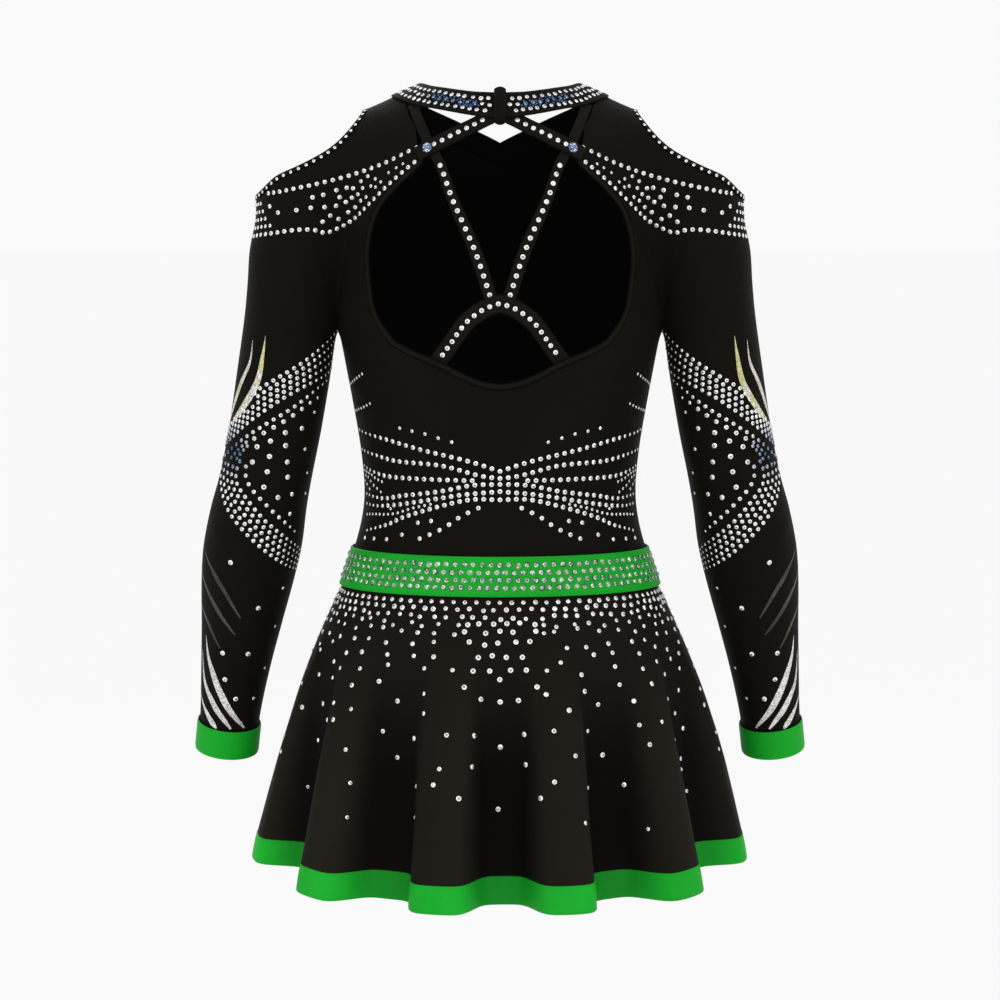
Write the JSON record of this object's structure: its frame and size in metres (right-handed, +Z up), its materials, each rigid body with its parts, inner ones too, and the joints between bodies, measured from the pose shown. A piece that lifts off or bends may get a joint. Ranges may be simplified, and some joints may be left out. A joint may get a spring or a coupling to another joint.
{
  "type": "cheerleading uniform",
  "caption": "Long-sleeved stretch dress as worn and hollow, with an open keyhole back crossed by straps, cold shoulders, a waistband, a short flared skirt and cuffs.",
  "frame": {"origin": "centre of the neck opening, level with the lower edge of the neckband at the sides, where the wearer's neck and shoulders hold the dress", "axes": "+Z up along the body, +Y out of the back, +X to the wearer's left side"},
  "size_m": [0.5364, 0.3449, 0.676],
  "materials": {
    "black_stretch": "matte to satin stretch knit",
    "green_satin": "satin stretch knit",
    "crystal": "faceted, blue sheen"
  },
  "bodies": {
    "root": {"front_bodice": "black_stretch", "back_bodice": "black_stretch", "sleeve_left": "black_stretch", "sleeve_right": "black_stretch", "skirt": "black_stretch", "hem_band": "green_satin", "waistband": "green_satin", "neckband": "black_stretch", "cuff_left": "green_satin", "cuff_right": "green_satin", "keyhole_binding": "black_stretch", "shoulder_binding_left": "black_stretch", "shoulder_binding_right": "black_stretch", "arch_strap": "black_stretch", "neck_keeper": "black_stretch", "cross_strap_left": "black_stretch", "cross_strap_right": "black_stretch", "diagonal_strap_left": "black_stretch", "diagonal_strap_right": "black_stretch", "gem_left": "crystal", "gem_right": "crystal"}
  },
  "joints": []
}
